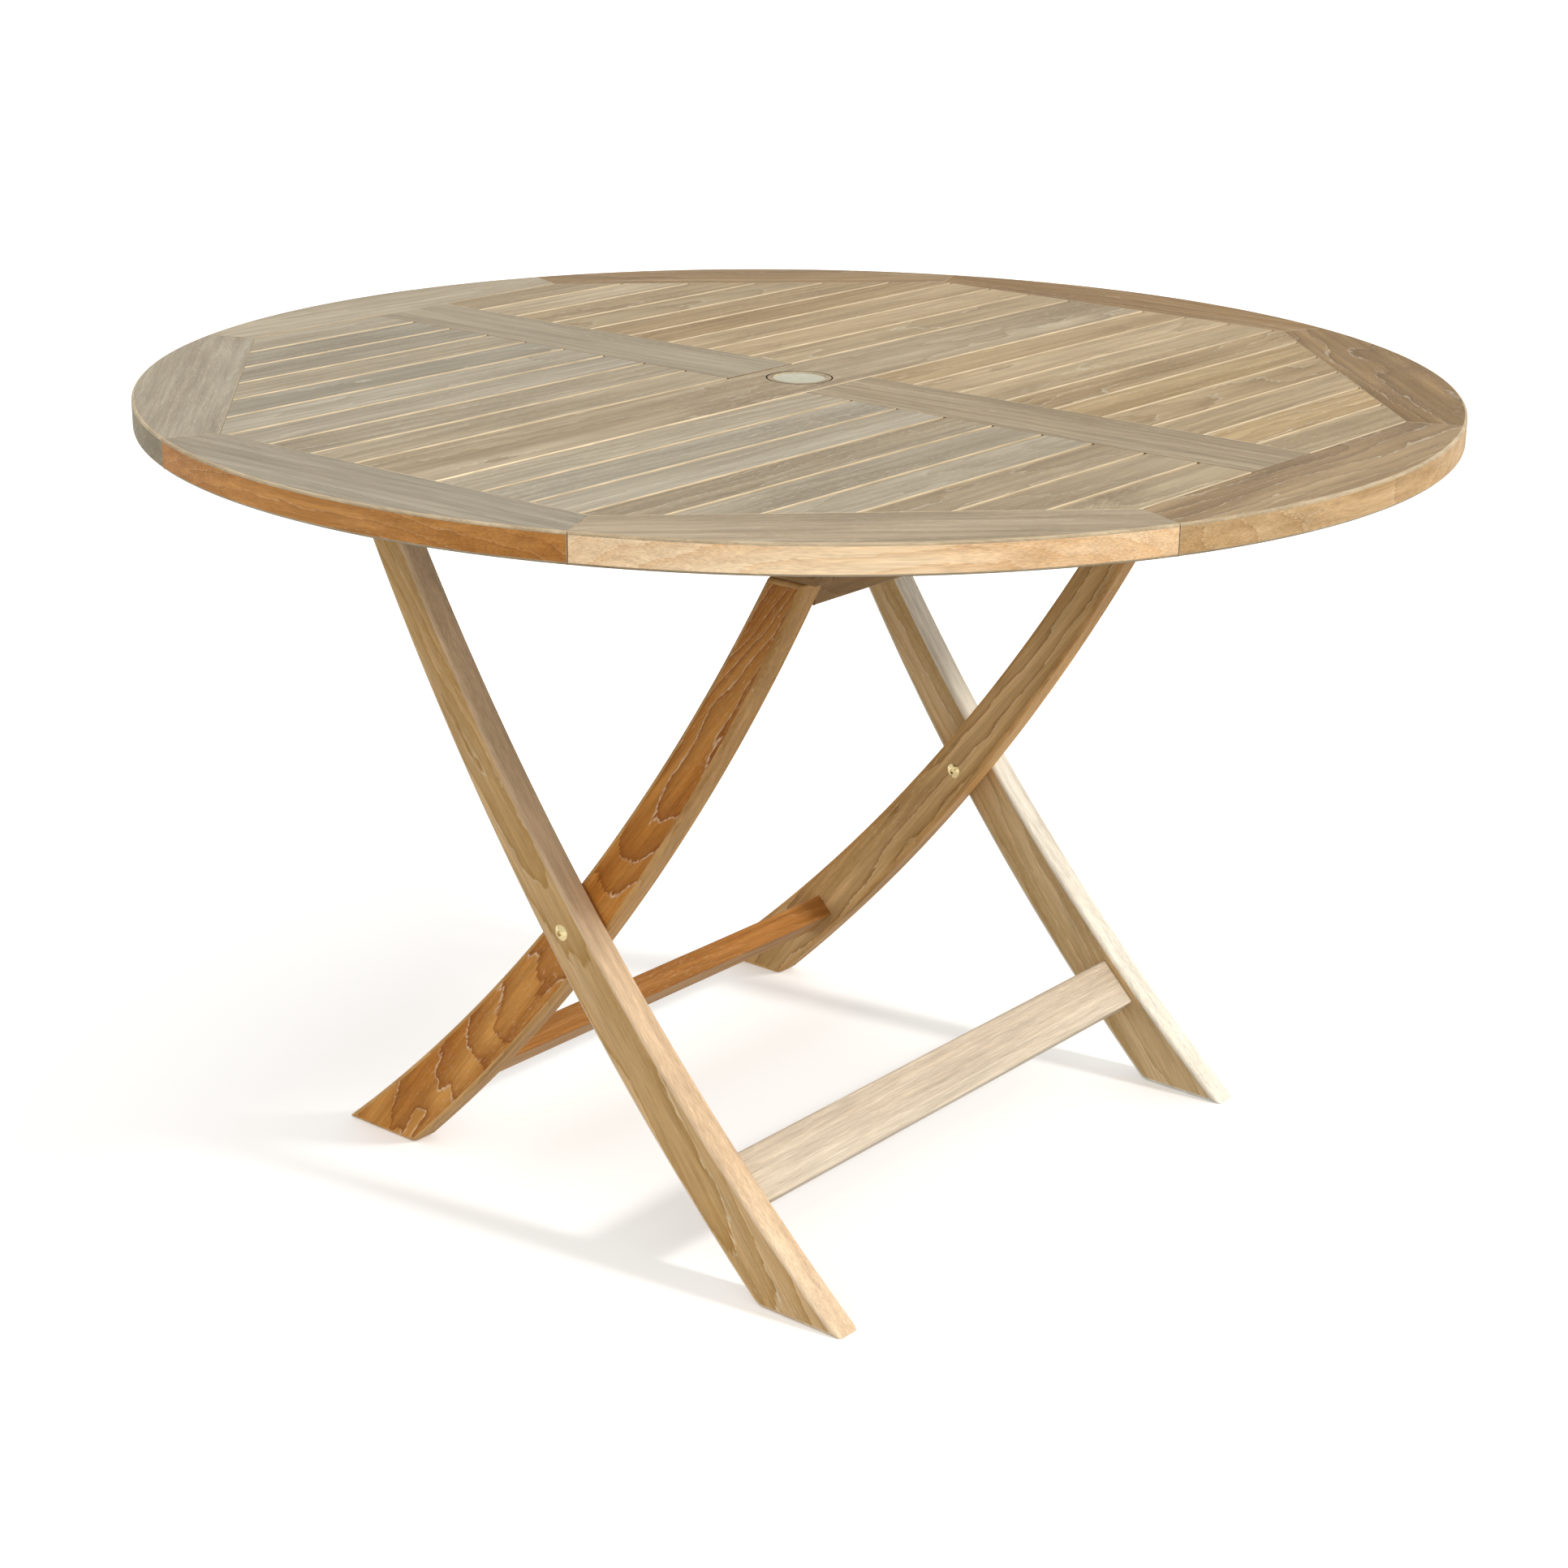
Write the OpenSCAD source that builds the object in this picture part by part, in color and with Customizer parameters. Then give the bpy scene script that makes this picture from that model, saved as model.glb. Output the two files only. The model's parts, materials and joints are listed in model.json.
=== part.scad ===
// Round slatted garden table, 1.2 m across, on two crossing leg frames.
// The outer frame is hinged to the battens under the top. The inner frame
// carries the other edge of the top on its cut leg ends, with its top rail
// held by two catch blocks. Lifting that edge lets the two frames close.
// +X runs along the slats, the leg frames cross in the Y-Z plane, and the
// origin is the centre of the footprint, on the ground.

/* [Table top] */
// Diameter of the round top
top_d = 1200; // [1190:1:1210]
// Height of the top surface above the ground
top_h = 742; // [740:1:744]
// Thickness of the rim segments
rim_t = 26; // [24:1:28]
// Distance from the centre to the straight inner edge of the rim
rim_in = 508; // [500:1:515]
// Thickness of the slats and of the centre boards
slat_t = 20; // [18:1:20]
// Width of the centre board and the cross boards
board_w = 92; // [88:1:96]
// Width of the gap between two slats
slat_gap = 3; // [2:0.5:5]

/* [Leg frames] */
// Distance from the middle to the outer face of the outer legs
frame_half = 323; // [318:1:328]
// Thickness of each leg plank
leg_t = 28; // [26:1:28]
// Thickness of the brass washers between the frames
washer_t = 1.5; // [1:0.1:2]
// Width of a leg where the two frames cross
leg_w = 49; // [46:0.5:50]
// Radius of the bow in each leg
leg_bow_r = 2274; // [2200:1:2400]
// Slope of a leg where the two frames cross, in degrees
leg_slope = 52; // [51.5:0.1:52.5]
// Height of the pivot bolts above the ground
pivot_z = 291; // [290:1:292]
// Distance of the crossing from the middle of the top, towards the hinge
cross_y = 2.7; // [0:0.1:4]

/* [Under the top] */
// Depth of the battens below the slats
batten_h = 72; // [70:1:74]
// Thickness of the rails and stretchers
rail_t = 25; // [22:1:26]

/* [Parasol hole] */
// Inner diameter of the parasol sleeve
sleeve_d = 42; // [38:1:42]
// Diameter of the brass flange around the cap
flange_d = 64; // [60:1:66]

/* [Hidden] */
$fn = 96;
eps = 0.01;
rows = 9;
leg_centre_z = pivot_z + 3;
leg_taper = 0.0317;
leg_steps = 20;

slat_pitch = (rim_in - board_w / 2) / rows;
slat_z = top_h - slat_t;
rim_z = top_h - rim_t;
tongue_t = 8;
tongue_len = 9;
joint_gap = 0.4;
board_groove = 5;
cross_groove = 10;
cross_tongue_in = 12;
spline_w = 40;
spline_r0 = (rim_in + tongue_len) / cos(22.5) + 5;
spline_r1 = top_d / 2 - 10;
tongue_z = slat_z + (slat_t - tongue_t) / 2;
slip = 0.15;
octagon_k = 1 / cos(22.5);
seam_cut = 0.2;

inner_face = frame_half - leg_t - washer_t;
batten_t = leg_t + 1;
batten_x = inner_face - batten_t / 2;
batten_y0 = -256;
batten_y1 = 278;
batten_z = slat_z - batten_h;
batten_bevel_y = 150;
batten_bevel_h = 24;
bearing_gap = 0.4;

hinge_s = 462;
hinge_y = centre_y(hinge_s);
hinge_end_z = centre_z(hinge_s);

ground_cut = -500;
stretcher_s = -275;
outer_stretcher_w = 51;
outer_stretcher_t = 22;
outer_stretcher_n = 7.6;
inner_stretcher_w = 40;
inner_stretcher_n = -3.5;
tenon_len = 16;
tenon_t = 12;
tenon_shoulder = 6.5;

top_rail_y = -234;
top_rail_z0 = 625;
top_rail_z1 = 695;
top_tenon_w = 10;
top_tenon_up = 6;
head_clear = 1;
rail_drop = 3;
catch_gap = 1;
catch_w = 26;
catch_len = 60;
catch_z = 668;

bolt_r = 4;
bolt_fit = 0.05;
bolt_grip = 20;
play = 0.3;
head_r = 7.5;
head_t = 2.5;
socket_r = 2.9;
nut_r = 5.5;
nut_bore = 24;
washer_r = 11;
screw_r = 2.2;
screw_head_r = 4.5;
screw_head_t = 3;
screw_sink = 30;
screw_bite = 13;
screw_recess = 1.6;
screw_rows = 4;

sleeve_wall = 3;
sleeve_below = 8;
flange_t = 5;
flange_lip = 2.5;
lid_gap = 0.3;
lid_seat = 3;

leg_sides = [-1, 1];

// ---- bowed leg: centre line and outline in the Y-Z plane ----

// Direction of the centre line at arc length s from the crossing, in degrees
function heading(s) = leg_slope + s / leg_bow_r * 180 / PI;
function centre_y(s) = cross_y + leg_bow_r * (sin(heading(s)) - sin(leg_slope));
function centre_z(s) = leg_centre_z - leg_bow_r * (cos(heading(s)) - cos(leg_slope));
function half_w(s) = (leg_w - leg_taper * s) / 2;

// Point at arc length s, moved by n across the leg, upper side positive
function leg_point(s, n) =
    [centre_y(s) - n * sin(heading(s)), centre_z(s) + n * cos(heading(s))];

function edge_points(s0, s1, side) =
    [for (i = [0 : leg_steps])
        let (s = s0 + (s1 - s0) * i / leg_steps) leg_point(s, side * half_w(s))];

// Leg rising towards +Y, from below the ground up to arc length s1
module leg_blank(s1) {
    intersection() {
        polygon(concat(edge_points(ground_cut, s1, -1), edge_points(s1, ground_cut, 1)));
        translate([-top_d / 2, 0]) square([top_d, top_h]);
    }
}

// Arc length at which one edge of the leg meets the ground, found in a few steps
function ground_s(side, s = -400, steps = 8) = steps == 0 ? s :
    ground_s(side, s - leg_point(s, side * half_w(s))[1] / sin(heading(s)), steps - 1);

// Small round taken off the heel, where the lower edge meets the ground
module heel_cut() {
    r = 18;
    over = 2;
    s = ground_s(-1);
    bend = heading(s);
    back = r * tan(bend / 2);
    translate([leg_point(s, -half_w(s))[0], 0]) difference() {
        polygon([[-back, 0], [-back, -over], [over, -over],
            [back * cos(bend) + over * sin(bend), back * sin(bend) - over * cos(bend)],
            [back * cos(bend), back * sin(bend)]]);
        translate([-back, r]) circle(r);
    }
}

module outer_leg_2d() {
    difference() {
        union() {
            leg_blank(hinge_s);
            translate([hinge_y, hinge_end_z]) circle(half_w(hinge_s));
        }
        heel_cut();
    }
}

module inner_leg_2d() {
    difference() {
        leg_blank(hinge_s);
        heel_cut();
        translate([-top_d / 2, batten_z - bearing_gap]) square([top_d, top_h]);
    }
}

// Extrudes a Y-Z outline along +X from x0
module plank(x0, t) {
    translate([x0, 0, 0]) rotate([90, 0, 90]) linear_extrude(t) children();
}

// Rod along X, from x0 towards side
module rod(x0, length, r, side = 1) {
    translate([x0, 0, 0]) rotate([0, 90 * side, 0]) cylinder(h = length, r = r);
}

// Rail along X, set in the legs' own direction at arc length s
module leg_rail(s, n, w, t, x_half) {
    at = leg_point(s, n);
    translate([0, at[0], at[1]]) rotate([heading(s), 0, 0])
        cube([2 * x_half, w, t], center = true);
}

// ---- outer frame ----

module outer_tenons(grow = 0) {
    leg_rail(stretcher_s, outer_stretcher_n, outer_stretcher_w - 2 * tenon_shoulder + grow,
        tenon_t + grow, frame_half - leg_t + tenon_len + grow);
}

module outer_leg(side) {
    x0 = side > 0 ? frame_half - leg_t : -frame_half;
    color("burlywood") difference() {
        plank(x0, leg_t) outer_leg_2d();
        translate([0, cross_y, pivot_z]) rod(x0 - 1, leg_t + 2, bolt_r + bolt_fit);
        translate([0, hinge_y, hinge_end_z]) rod(x0 - 1, leg_t + 2, bolt_r + bolt_fit);
        outer_tenons(2 * slip);
    }
}

module outer_leg_left() {
    outer_leg(-1);
}

module outer_leg_right() {
    outer_leg(1);
}

module outer_stretcher() {
    color("wheat") {
        leg_rail(stretcher_s, outer_stretcher_n, outer_stretcher_w,
            outer_stretcher_t, frame_half - leg_t - slip);
        outer_tenons();
    }
}

// ---- inner frame, whose legs rise towards -Y ----

// Turns what belongs to an outer leg into its mirror image about the crossing
module inner_side() {
    translate([0, 2 * cross_y, 0]) mirror([0, 1, 0]) children();
}

module inner_tenons(grow = 0) {
    inner_side() leg_rail(stretcher_s, inner_stretcher_n,
        inner_stretcher_w - 2 * tenon_shoulder + grow,
        tenon_t + grow, inner_face - leg_t + tenon_len + grow);
}

module top_rail_tenons(grow = 0) {
    x_half = inner_face - leg_t + tenon_len + grow;
    translate([0, top_rail_y + rail_t / 2, top_rail_z0 + top_tenon_up + tenon_t / 2])
        cube([2 * x_half, top_tenon_w + grow, tenon_t + grow], center = true);
}

module inner_leg(side) {
    x0 = side > 0 ? inner_face - leg_t : -inner_face;
    color("peru") difference() {
        inner_side() plank(x0, leg_t) inner_leg_2d();
        translate([0, cross_y, pivot_z]) rod(x0 - 1, leg_t + 2, nut_r + slip);
        inner_tenons(2 * slip);
        top_rail_tenons(2 * slip);
    }
}

module inner_leg_left() {
    inner_leg(-1);
}

module inner_leg_right() {
    inner_leg(1);
}

module inner_stretcher() {
    color("peru") {
        inner_side() leg_rail(stretcher_s, inner_stretcher_n, inner_stretcher_w,
            rail_t, inner_face - leg_t - slip);
        inner_tenons();
    }
}

// Its upper part stands between the battens, so it is a little shorter there
module inner_top_rail() {
    low_half = inner_face - leg_t - slip;
    high_half = inner_face - batten_t - head_t - head_clear;
    low_h = batten_z - rail_drop - top_rail_z0;
    color("tan") {
        translate([-low_half, top_rail_y, top_rail_z0]) cube([2 * low_half, rail_t, low_h]);
        translate([-high_half, top_rail_y, top_rail_z0])
            cube([2 * high_half, rail_t, top_rail_z1 - top_rail_z0]);
        top_rail_tenons();
    }
}

// ---- brass hardware of the crossing and of the top hinge ----

// Domed head with a hexagon socket, seated at x0 and facing side
module domed_head(x0, side) {
    dome_r = 12.5;
    socket_depth = 1.8;
    translate([x0, 0, 0]) rotate([0, 90 * side, 0]) difference() {
        intersection() {
            cylinder(h = head_t, r = head_r);
            translate([0, 0, head_t - dome_r]) sphere(r = dome_r, $fn = 96);
        }
        translate([0, 0, head_t - socket_depth]) cylinder(h = head_t, r = socket_r, $fn = 6);
    }
}

// Bolt from the outer leg inwards; the shank ends inside the nut
module side_bolt(side, shank_len) {
    domed_head(side * frame_half, side);
    rod(side * (frame_half + eps), shank_len, bolt_r, -side);
}

// Sleeve nut from the inner side: barrel over the bolt, and a domed head
module side_nut(side, head_x, barrel_len, bore_len) {
    domed_head(side * head_x, -side);
    difference() {
        rod(side * (head_x - eps), barrel_len, nut_r, side);
        rod(side * (head_x + barrel_len + 1), bore_len + 1, bolt_r + bolt_fit, -side);
    }
}

// Washer against the outer leg, with a little play towards what turns beside it
module side_washer(side) {
    translate([side * (inner_face + play), 0, 0]) rotate([0, 90 * side, 0]) difference() {
        cylinder(h = washer_t - play, r = washer_r);
        translate([0, 0, -1]) cylinder(h = washer_t + 2, r = bolt_r + slip);
    }
}

module pivot_bolts() {
    color("gold") for (side = leg_sides) translate([0, cross_y, pivot_z])
        side_bolt(side, leg_t + washer_t + bolt_grip);
}

module pivot_nuts() {
    color("gold") for (side = leg_sides) translate([0, cross_y, pivot_z])
        side_nut(side, inner_face - leg_t, leg_t - 2, nut_bore);
}

module pivot_washers() {
    color("gold") for (side = leg_sides) translate([0, cross_y, pivot_z])
        side_washer(side);
}

module hinge_bolts() {
    color("gold") for (side = leg_sides) translate([0, hinge_y, hinge_end_z])
        side_bolt(side, leg_t + washer_t + bolt_grip);
}

module hinge_nuts() {
    color("gold") for (side = leg_sides) translate([0, hinge_y, hinge_end_z])
        side_nut(side, inner_face - batten_t, batten_t - 2, nut_bore);
}

module hinge_washers() {
    color("gold") for (side = leg_sides) translate([0, hinge_y, hinge_end_z])
        side_washer(side);
}

// ---- table top ----

module octagon(apothem, z, h) {
    translate([0, 0, z]) rotate(22.5) cylinder(h = h, r = apothem * octagon_k, $fn = 8);
}

// Loose tenons across the eight seams of the rim
module spline_bar(grow = 0) {
    translate([spline_r0 - grow, -spline_w / 2 - grow, tongue_z - grow])
        cube([spline_r1 - spline_r0 + 2 * grow, spline_w + 2 * grow, tongue_t + 2 * grow]);
}

module rim_splines() {
    color("tan") for (i = [0 : 7]) rotate(22.5 + 45 * i) spline_bar();
}

// One eighth of the rim, with its straight inner edge across +X before turning
module rim_segment(i) {
    reach = top_d;
    color("burlywood") rotate(45 * i) difference() {
        intersection() {
            translate([0, 0, rim_z]) cylinder(h = rim_t, d = top_d, $fn = 256);
            translate([0, 0, rim_z]) linear_extrude(rim_t) polygon([
                [rim_in, -(rim_in * tan(22.5) - seam_cut)],
                [reach, -(reach * tan(22.5) - seam_cut)],
                [reach, reach * tan(22.5) - seam_cut],
                [rim_in, rim_in * tan(22.5) - seam_cut]]);
        }
        translate([rim_in - 1, -top_d / 2, tongue_z - slip])
            cube([tongue_len + 2, top_d, tongue_t + 2 * slip]);
        for (turn = leg_sides) rotate(22.5 * turn) spline_bar(slip);
    }
}

// Board with full thickness inside the rim and a thin tongue into its groove
module tongued(x0, x1, y0, y1, tongue_x0, tongue_x1) {
    intersection() {
        translate([x0, y0, slat_z]) cube([x1 - x0, y1 - y0, slat_t]);
        octagon(rim_in - joint_gap, slat_z, slat_t);
    }
    intersection() {
        translate([tongue_x0, y0, tongue_z])
            cube([tongue_x1 - tongue_x0, y1 - y0, tongue_t]);
        octagon(rim_in + tongue_len, tongue_z, tongue_t);
    }
}

// Screw holes in both battens' line, at one place along Y
module screw_pair(y, r, z0, z1) {
    for (side = leg_sides) translate([side * batten_x, y, z0]) cylinder(h = z1 - z0, r = r);
}

function row_mid(i) = board_w / 2 + (i - 0.5) * slat_pitch;

// Two slats of one row, one on each side of the cross board
module slat_pair(i, side) {
    y0 = side * row_mid(i) - (slat_pitch - slat_gap) / 2;
    y1 = y0 + slat_pitch - slat_gap;
    x_in = board_w / 2 + joint_gap;
    color("tan") difference() {
        for (turn = [0, 1]) mirror([turn, 0, 0])
            tongued(x_in, top_d, y0, y1, x_in - tongue_len, top_d);
        if (i <= screw_rows)
            screw_pair(side * row_mid(i), screw_r + slip, slat_z - 1, slat_z + screw_bite + 1);
    }
}

module centre_board() {
    y_half = (board_w - slat_gap) / 2;
    color("tan") difference() {
        tongued(-top_d, top_d, -y_half, y_half, -top_d, top_d);
        translate([0, 0, slat_z - 1])
            cylinder(h = slat_t + 2, r = sleeve_d / 2 + sleeve_wall + slip);
        translate([0, 0, top_h - flange_t]) cylinder(h = flange_t + 1, r = flange_d / 2 + slip);
        screw_pair(0, screw_r + slip, slat_z - 1, slat_z + screw_bite + 1);
        for (side = leg_sides)
            translate([-(board_w / 2), side * y_half - board_groove, tongue_z - slip])
                cube([board_w, 2 * board_groove, tongue_t + 2 * slip]);
    }
}

module cross_board(side) {
    y0 = board_w / 2;
    tongue_half = board_w / 2 - cross_tongue_in;
    tongue_back = 5.5;
    color("tan") mirror([0, side > 0 ? 0 : 1, 0]) difference() {
        union() {
            translate([-board_w / 2, y0, slat_z])
                cube([board_w, rim_in - joint_gap - y0, slat_t]);
            translate([-tongue_half, y0 - tongue_back, tongue_z])
                cube([2 * tongue_half, rim_in + tongue_len - y0 + tongue_back, tongue_t]);
        }
        for (turn = leg_sides)
            translate([turn * board_w / 2 - cross_groove, y0 - 1, tongue_z - slip])
                cube([2 * cross_groove, rim_in, tongue_t + 2 * slip]);
    }
}

module cross_board_near() {
    cross_board(-1);
}

module cross_board_far() {
    cross_board(1);
}

module batten_screw(y) {
    z_head = batten_z + screw_sink;
    for (side = leg_sides) translate([side * batten_x, y, z_head]) difference() {
        union() {
            cylinder(h = slat_z + screw_bite - z_head, r = screw_r);
            cylinder(h = screw_head_t, r = screw_head_r);
        }
        translate([0, 0, -eps]) cylinder(h = screw_recess, r = screw_recess, $fn = 4);
    }
}

function screw_places() =
    concat([0], [for (i = [1 : screw_rows], side = leg_sides) side * row_mid(i)]);

module batten_screws() {
    color("gold") for (y = screw_places()) batten_screw(y);
}

// Its underside rises towards the hinge, which lets the inner legs pass there
module batten(side) {
    x0 = side * batten_x - batten_t / 2;
    color("sienna") difference() {
        plank(x0, batten_t) polygon([
            [batten_y0, batten_z], [batten_bevel_y, batten_z],
            [batten_y1, batten_z + batten_bevel_h],
            [batten_y1, slat_z - slip], [batten_y0, slat_z - slip]]);
        for (y = screw_places()) {
            screw_pair(y, screw_r + slip, batten_z - 1, slat_z + 1);
            screw_pair(y, screw_head_r + slip, batten_z - 1,
                batten_z + screw_sink + screw_head_t + slip);
        }
        translate([0, hinge_y, hinge_end_z]) rod(x0 - 1, batten_t + 2, nut_r + slip);
    }
}

module batten_left() {
    batten(-1);
}

module batten_right() {
    batten(1);
}

// Blocks in front of the inner frame's top rail, fixed inside the battens
module catch_blocks() {
    color("sienna") for (side = [0, 1]) mirror([side, 0, 0])
        translate([inner_face - batten_t - catch_len, top_rail_y - catch_gap - catch_w, catch_z])
            cube([catch_len, catch_w, slat_z - slip - catch_z]);
}

// ---- parasol hole ----

module parasol_ring() {
    body_h = slat_t + sleeve_below;
    seat_r = flange_d / 2 - flange_lip;
    color("gold") translate([0, 0, slat_z - sleeve_below]) difference() {
        union() {
            cylinder(h = body_h - flange_t + 1, r = sleeve_d / 2 + sleeve_wall);
            translate([0, 0, body_h - flange_t]) cylinder(h = flange_t, r = flange_d / 2);
        }
        translate([0, 0, -1]) cylinder(h = body_h + 2, r = sleeve_d / 2);
        translate([0, 0, body_h - lid_seat]) cylinder(h = lid_seat + 1, r = seat_r);
    }
}

// Flat lid lying in the seat of the ring, with a low crowned face
module parasol_cap() {
    cap_r = flange_d / 2 - flange_lip - lid_gap;
    edge_h = 2.1;
    crown_h = 0.6;
    crown_steps = 8;
    color("gold") translate([0, 0, top_h - edge_h - crown_h]) rotate_extrude()
        polygon(concat([[0, 0], [cap_r, 0]],
            [for (i = [0 : crown_steps])
                let (r = cap_r * (1 - i / crown_steps))
                    [r, edge_h + crown_h * (1 - pow(r / cap_r, 2))]]));
}

for (i = [1 : 8]) rim_segment(i - 1);
for (i = [1 : rows]) slat_pair(i, -1);
for (i = [1 : rows]) slat_pair(i, 1);
rim_splines();
centre_board();
cross_board_near();
cross_board_far();
batten_left();
batten_right();
catch_blocks();
batten_screws();
parasol_ring();
parasol_cap();
outer_leg_left();
outer_leg_right();
outer_stretcher();
hinge_bolts();
hinge_nuts();
hinge_washers();
inner_leg_left();
inner_leg_right();
inner_stretcher();
inner_top_rail();
pivot_bolts();
pivot_nuts();
pivot_washers();
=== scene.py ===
"""Looks of the round folding garden table: teak boards and brass fittings on the CAD frame."""
import json
import math
import random

import bmesh
import bpy
from mathutils import Matrix, Vector


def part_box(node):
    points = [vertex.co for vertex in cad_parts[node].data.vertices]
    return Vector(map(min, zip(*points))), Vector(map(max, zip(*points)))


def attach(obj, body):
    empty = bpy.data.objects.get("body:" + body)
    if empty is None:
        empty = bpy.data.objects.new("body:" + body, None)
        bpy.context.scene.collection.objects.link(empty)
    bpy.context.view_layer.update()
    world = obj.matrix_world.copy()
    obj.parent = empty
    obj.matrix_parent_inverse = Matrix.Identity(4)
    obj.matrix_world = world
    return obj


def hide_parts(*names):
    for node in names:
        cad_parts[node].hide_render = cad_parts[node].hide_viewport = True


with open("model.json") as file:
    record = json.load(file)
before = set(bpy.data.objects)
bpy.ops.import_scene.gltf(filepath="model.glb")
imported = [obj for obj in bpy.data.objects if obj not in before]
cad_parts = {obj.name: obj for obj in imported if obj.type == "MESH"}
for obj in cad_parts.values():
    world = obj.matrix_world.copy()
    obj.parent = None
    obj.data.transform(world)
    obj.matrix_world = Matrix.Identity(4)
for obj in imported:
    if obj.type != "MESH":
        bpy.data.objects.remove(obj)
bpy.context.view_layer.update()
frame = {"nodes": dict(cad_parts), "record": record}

MM = 0.001
BODIES = frame["record"]["behaviour"]["bodies"]
BODY_OF = {node: body for body, nodes in BODIES.items() for node in nodes}

# ---- camera ----

EYE = Vector((-2.0985, -1.6928, 1.2884))
HEADING, PITCH, ROLL = math.radians(39.09), math.radians(-19.25), math.radians(0.743)
LENS, SENSOR = 68.21, 36.0
CLIP_END = 200


def direction(azimuth, elevation):
    """The unit vector that points that way, with azimuth counted from +X."""
    return Vector((math.cos(azimuth) * math.cos(elevation),
                   math.sin(azimuth) * math.cos(elevation), math.sin(elevation)))


def make_camera():
    forward = direction(HEADING, PITCH)
    level = Vector((math.sin(HEADING), -math.cos(HEADING), 0))
    right = level * math.cos(ROLL) + level.cross(forward) * math.sin(ROLL)
    up = right.cross(forward)
    data = bpy.data.cameras.new("camera")
    data.lens, data.sensor_width = LENS, SENSOR
    data.clip_end = CLIP_END
    camera = bpy.data.objects.new("camera", data)
    turn = Matrix((right, up, -forward)).transposed()
    camera.matrix_world = Matrix.Translation(EYE) @ turn.to_4x4()
    bpy.context.scene.collection.objects.link(camera)
    bpy.context.scene.camera = camera


# ---- light and floor ----

# The surroundings are white above the horizon and dimmer below it, where the floor hides them.
SKY, GROUND = 1.02, 0.36
HORIZON = (-0.30, -0.01)
SKY_COLOUR = (1.0, 0.985, 0.955, 1)
KEY_AZIMUTH, KEY_ELEVATION = math.radians(286), math.radians(37)
KEY_STRENGTH, KEY_ANGLE = 1.45, math.radians(7)
KEY_COLOUR = (1.0, 0.975, 0.94)
FLOOR_HALF = 60
FLOOR_COLOUR, FLOOR_ROUGHNESS = (0.97, 0.97, 0.97, 1), 0.9
FLOOR_GLOW = 0.22


def make_light():
    scene = bpy.context.scene
    scene.view_settings.view_transform = "Standard"
    world = bpy.data.worlds.new("studio")
    world.use_nodes = True
    g = Graph(world.node_tree)
    back = world.node_tree.nodes["Background"]
    back.inputs["Color"].default_value = SKY_COLOUR
    height = g.add("SeparateXYZ", (g.add("TexCoord").outputs["Generated"],)).outputs[2]
    strength = g.ramp(height, *HORIZON, GROUND, SKY)
    world.node_tree.links.new(strength, back.inputs["Strength"])
    scene.world = world
    data = bpy.data.lights.new("key", "SUN")
    data.energy, data.angle = KEY_STRENGTH, KEY_ANGLE
    data.color = KEY_COLOUR
    key = bpy.data.objects.new("key", data)
    key.rotation_mode = "QUATERNION"
    key.rotation_quaternion = direction(KEY_AZIMUTH, KEY_ELEVATION).to_track_quat("Z", "Y")
    scene.collection.objects.link(key)


def make_floor():
    """A pale floor that glows faintly, so that it stays white, and casts no light on the table."""
    mesh = bpy.data.meshes.new("floor")
    corners = [(x * FLOOR_HALF, y * FLOOR_HALF, 0) for x, y in ((-1, -1), (1, -1), (1, 1), (-1, 1))]
    mesh.from_pydata(corners, [], [(0, 1, 2, 3)])
    floor = bpy.data.objects.new("floor", mesh)
    bpy.context.scene.collection.objects.link(floor)
    paint = bpy.data.materials.new("floor_paint")
    paint.use_nodes = True
    shader = paint.node_tree.nodes["Principled BSDF"]
    shader.inputs["Base Color"].default_value = FLOOR_COLOUR
    shader.inputs["Roughness"].default_value = FLOOR_ROUGHNESS
    shader.inputs["Emission Color"].default_value = (1, 1, 1, 1)
    shader.inputs["Emission Strength"].default_value = FLOOR_GLOW
    mesh.materials.append(paint)
    floor.visible_diffuse = False


# ---- node trees ----

class Graph:
    """Writes a node tree as expressions: inputs are sockets or plain values."""

    def __init__(self, tree):
        self.tree = tree

    def add(self, kind, inputs=(), **settings):
        made = self.tree.nodes.new("ShaderNode" + kind)
        for key, value in settings.items():
            setattr(made, key, value)
        pairs = inputs.items() if isinstance(inputs, dict) else enumerate(inputs)
        for key, value in pairs:
            if isinstance(value, bpy.types.NodeSocket):
                self.tree.links.new(value, made.inputs[key])
            else:
                made.inputs[key].default_value = value
        return made

    def math(self, operation, *values):
        return self.add("Math", values, operation=operation).outputs[0]

    def vector(self, operation, *values):
        return self.add("VectorMath", values, operation=operation).outputs[0]

    def scale(self, vector, factor):
        return self.add("VectorMath", {0: vector, "Scale": factor}, operation="SCALE").outputs[0]

    def stretch(self, at, scale):
        return self.vector("MULTIPLY", at, scale)

    def noise(self, at, scale, detail=2.0, rough=0.5):
        inputs = {"Vector": self.stretch(at, scale), "Scale": 1.0, "Detail": detail,
                  "Roughness": rough}
        return self.add("TexNoise", inputs).outputs["Fac"]

    def ramp(self, value, low, high, out_low=0.0, out_high=1.0):
        """A smooth step from out_low at low to out_high at high."""
        return self.add("MapRange", (value, low, high, out_low, out_high),
                        interpolation_type="SMOOTHSTEP").outputs[0]

    def mix(self, share, a, b):
        """Colours a and b mixed. The Mix node's colour sockets are inputs 6 and 7 and output 2."""
        return self.add("Mix", {0: share, 6: a, 7: b}, data_type="RGBA").outputs[2]


def group_socket(tree, name, kind, way="INPUT"):
    tree.interface.new_socket(name, in_out=way, socket_type="NodeSocket" + kind)


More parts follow.
